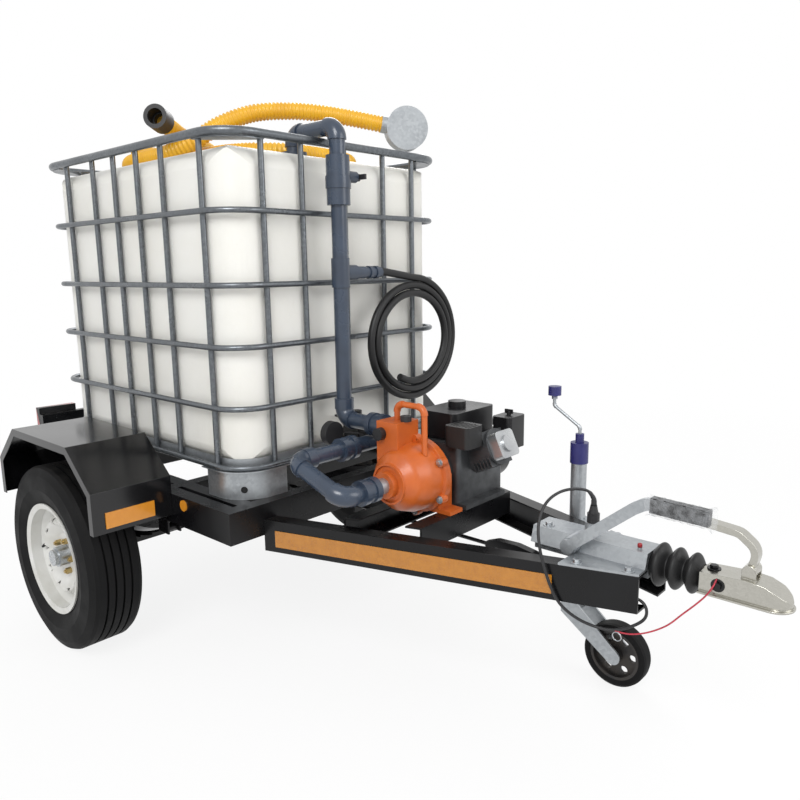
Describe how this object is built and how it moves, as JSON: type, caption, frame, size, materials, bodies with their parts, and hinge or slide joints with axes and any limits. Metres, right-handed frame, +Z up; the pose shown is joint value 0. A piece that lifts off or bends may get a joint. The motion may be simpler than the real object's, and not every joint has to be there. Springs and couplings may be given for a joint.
{
  "type": "wheeled water bowser",
  "caption": "Road-going water bowser: a caged tank on a wheeled frame with a drawbar, petrol pump set, suction and delivery pipework, overrun coupling and jockey wheel.",
  "frame": {"origin": "on the ground under the middle of the length and width", "axes": "+X forward to the coupling, +Y left, +Z up"},
  "size_m": [2.72, 1.64, 1.8606],
  "materials": {
    "gloss_black": "gloss black paint",
    "galvanised": "galvanised, dull spangle",
    "zinc": "zinc plated, warm grey",
    "tank_plastic": "translucent off-white",
    "black_plastic": "matt black",
    "pvc": "dark blue-grey pipe",
    "blue_plastic": "blue-violet moulding",
    "orange_paint": "orange paint on a casting",
    "engine_alloy": "dark cast alloy",
    "bright_alloy": "bright cast alloy",
    "engine_black": "black cover",
    "soot_black": "heatproof black",
    "rubber": "black rubber",
    "tyre": "tyre rubber",
    "white_paint": "white paint",
    "hub_iron": "grey iron",
    "red_lens": "red lens",
    "amber": "amber reflector",
    "yellow_hose": "ribbed yellow hose",
    "cable_red": "red sheathed cable"
  },
  "bodies": {
    "chassis": {"chassis_rails": "gloss_black", "drawbars": "gloss_black", "axle": "gloss_black", "mudguard_right": "gloss_black", "mudguard_left": "gloss_black", "tail_lamps": "red_lens", "reflectors": "amber", "pallet": "galvanised", "cage": "galvanised", "tank": "tank_plastic", "outlet_valve": "black_plastic", "suction_pipe": "pvc", "delivery_pipe": "pvc", "unions": "black_plastic", "nipples": "galvanised", "riser_valve": "pvc", "pump_dome": "orange_paint", "pump_bracket": "orange_paint", "pump_handle": "orange_paint", "pump_caps": "black_plastic", "engine_block": "engine_alloy", "valve_cover": "bright_alloy", "fuel_tank": "engine_black", "silencer": "soot_black", "air_cleaner": "engine_black", "recoil_cover": "engine_black", "coupling_housing": "galvanised", "bellows": "rubber", "jockey_clamp": "galvanised", "suction_hose": "yellow_hose", "hose_coupler": "black_plastic", "strainer": "galvanised", "hose_coil": "rubber", "electric_lead": "rubber", "plug": "black_plastic"},
    "wheel_right": {"tyre_right": "tyre", "rim_right": "white_paint", "hub_right": "hub_iron"},
    "wheel_left": {"tyre_left": "tyre", "rim_left": "white_paint", "hub_left": "hub_iron"},
    "drawgear": {"coupling_head": "zinc", "breakaway_cable": "cable_red"},
    "release_handle": {"head_handle": "zinc"},
    "handbrake": {"handbrake_lever": "galvanised", "handbrake_grip": "rubber"},
    "brake_linkage": {"brake_rod": "gloss_black"},
    "jockey_mast": {"jockey_tube": "galvanised", "jockey_cap": "blue_plastic"},
    "jockey_winder": {"jockey_crank": "galvanised"},
    "jockey_leg": {"jockey_inner": "galvanised"},
    "jockey_castor": {"jockey_fork": "galvanised"},
    "jockey_roller": {"jockey_wheel": "black_plastic", "jockey_tyre": "tyre"},
    "outlet_tap": {"outlet_lever": "blue_plastic"},
    "riser_tap": {"valve_handle": "black_plastic"},
    "filler_lid": {"tank_lid": "black_plastic"},
    "petrol_cap": {"fuel_cap": "black_plastic"},
    "pull_start": {"starter_grip": "black_plastic"},
    "pump_rotor": {"impeller": "hub_iron"}
  },
  "joints": [
    {"name": "wheel_right_spin", "type": "hinge", "parent": "chassis", "child": "wheel_right", "pos_m": [-0.725, -0.718, 0.32], "axis": [0, 1, 0], "continuous": true},
    {"name": "wheel_left_spin", "type": "hinge", "parent": "chassis", "child": "wheel_left", "pos_m": [-0.725, 0.718, 0.32], "axis": [0, 1, 0], "continuous": true},
    {"name": "overrun_slide", "type": "slide", "parent": "chassis", "child": "drawgear", "axis": [-1, 0, 0], "range_m": [0, 0.08], "stiffness_N_per_m": 8000, "deforming": ["bellows"]},
    {"name": "release_handle_lift", "type": "hinge", "parent": "drawgear", "child": "release_handle", "pos_m": [1.262, 0, 0.5753], "axis": [0, 1, 0], "range_deg": [0, 40], "stiffness_Nm_per_rad": 4},
    {"name": "handbrake_lift", "type": "hinge", "parent": "chassis", "child": "handbrake", "pos_m": [0.83, -0.084, 0.546], "axis": [0, -1, 0], "range_deg": [0, 50]},
    {"name": "brake_rod_pull", "type": "slide", "parent": "chassis", "child": "brake_linkage", "axis": [1, 0, 0], "range_m": [0, 0.02]},
    {"name": "jockey_clamp_slide", "type": "slide", "parent": "chassis", "child": "jockey_mast", "axis": [0, 0, 1], "range_m": [0, 0.12]},
    {"name": "jockey_winding", "type": "hinge", "parent": "jockey_mast", "child": "jockey_winder", "pos_m": [0.68526, 0.24015, 0.7], "axis": [0, 0, 1], "range_deg": [0, 3600]},
    {"name": "jockey_lift", "type": "slide", "parent": "jockey_mast", "child": "jockey_leg", "axis": [0, 0, 1], "range_m": [0, 0.06]},
    {"name": "jockey_swivel", "type": "hinge", "parent": "jockey_leg", "child": "jockey_castor", "pos_m": [0.68526, 0.24015, 0.25], "axis": [0, 0, 1], "continuous": true},
    {"name": "jockey_wheel_spin", "type": "hinge", "parent": "jockey_castor", "child": "jockey_roller", "pos_m": [0.83526, 0.24015, 0.1], "axis": [0, 1, 0], "continuous": true},
    {"name": "outlet_lever_turn", "type": "hinge", "parent": "chassis", "child": "outlet_tap", "pos_m": [-0.04, 0, 0.79], "axis": [0, 0, 1], "range_deg": [0, 90]},
    {"name": "riser_valve_turn", "type": "hinge", "parent": "chassis", "child": "riser_tap", "pos_m": [0.015, -0.03, 1.564], "axis": [0, 1, 0], "range_deg": [0, 90]},
    {"name": "lid_lift", "type": "slide", "parent": "chassis", "child": "filler_lid", "axis": [0, 0, 1], "range_m": [0, 0.12]},
    {"name": "fuel_cap_turn", "type": "hinge", "parent": "chassis", "child": "petrol_cap", "pos_m": [0.307, 0.118, 0.84], "axis": [0, 0, 1], "range_deg": [0, 90]},
    {"name": "starter_pull", "type": "slide", "parent": "chassis", "child": "pull_start", "axis": [0, 0, 1], "range_m": [0, 0.5], "stiffness_N_per_m": 20, "springref_m": -0.3},
    {"name": "impeller_spin", "type": "hinge", "parent": "chassis", "child": "pump_rotor", "pos_m": [0.325, -0.1, 0.655], "axis": [0, 1, 0], "continuous": true}
  ],
  "couplings": [
    {"joint": "brake_rod_pull", "follows": "handbrake_lift", "m_per_rad": 0.0229},
    {"joint": "jockey_winding", "follows": "jockey_lift", "rad_per_m": 1047.2}
  ]
}
